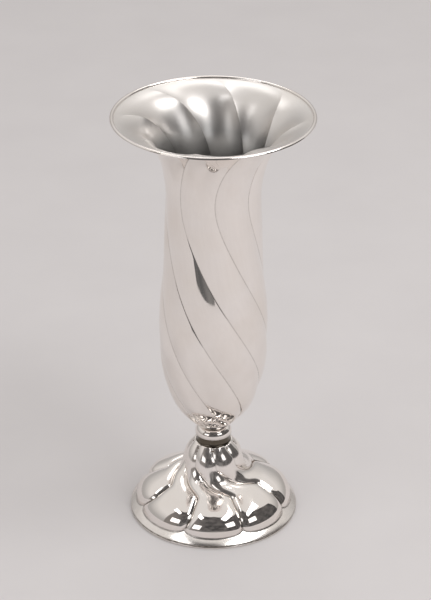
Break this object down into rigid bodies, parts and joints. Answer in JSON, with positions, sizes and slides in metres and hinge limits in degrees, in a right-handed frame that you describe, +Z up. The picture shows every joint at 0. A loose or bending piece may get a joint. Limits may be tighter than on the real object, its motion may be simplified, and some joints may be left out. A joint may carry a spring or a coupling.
{
  "type": "trumpet vase",
  "caption": "Tall silver flower vase with a flared mouth, spiral creased lobes on its body, a small turned knop and a spreading, spirally lobed and loaded foot.",
  "frame": {"origin": "on the floor, under the middle of the foot", "axes": "+Z up along the vase's axis, front toward -Y, +X to the right of someone who faces the front"},
  "size_m": [0.104, 0.104, 0.23],
  "materials": {
    "silver": "hand-polished silver with fine scratches and a little tarnish in the creases",
    "plate_brass": "spun sheet brass, dull",
    "pitch": "cast pitch and plaster loading, matt",
    "fittings": "turned brass"
  },
  "bodies": {
    "root": {"body_shell": "silver", "mouth_rim_wire": "silver", "neck_collar": "silver", "knop": "silver", "foot_collar": "silver", "foot_shell": "silver", "foot_rim_wire": "silver", "base_plate": "plate_brass", "foot_filling": "pitch", "body_boss": "fittings", "tie_stud": "fittings", "stud_washer": "fittings", "stud_nut": "fittings"}
  },
  "joints": []
}
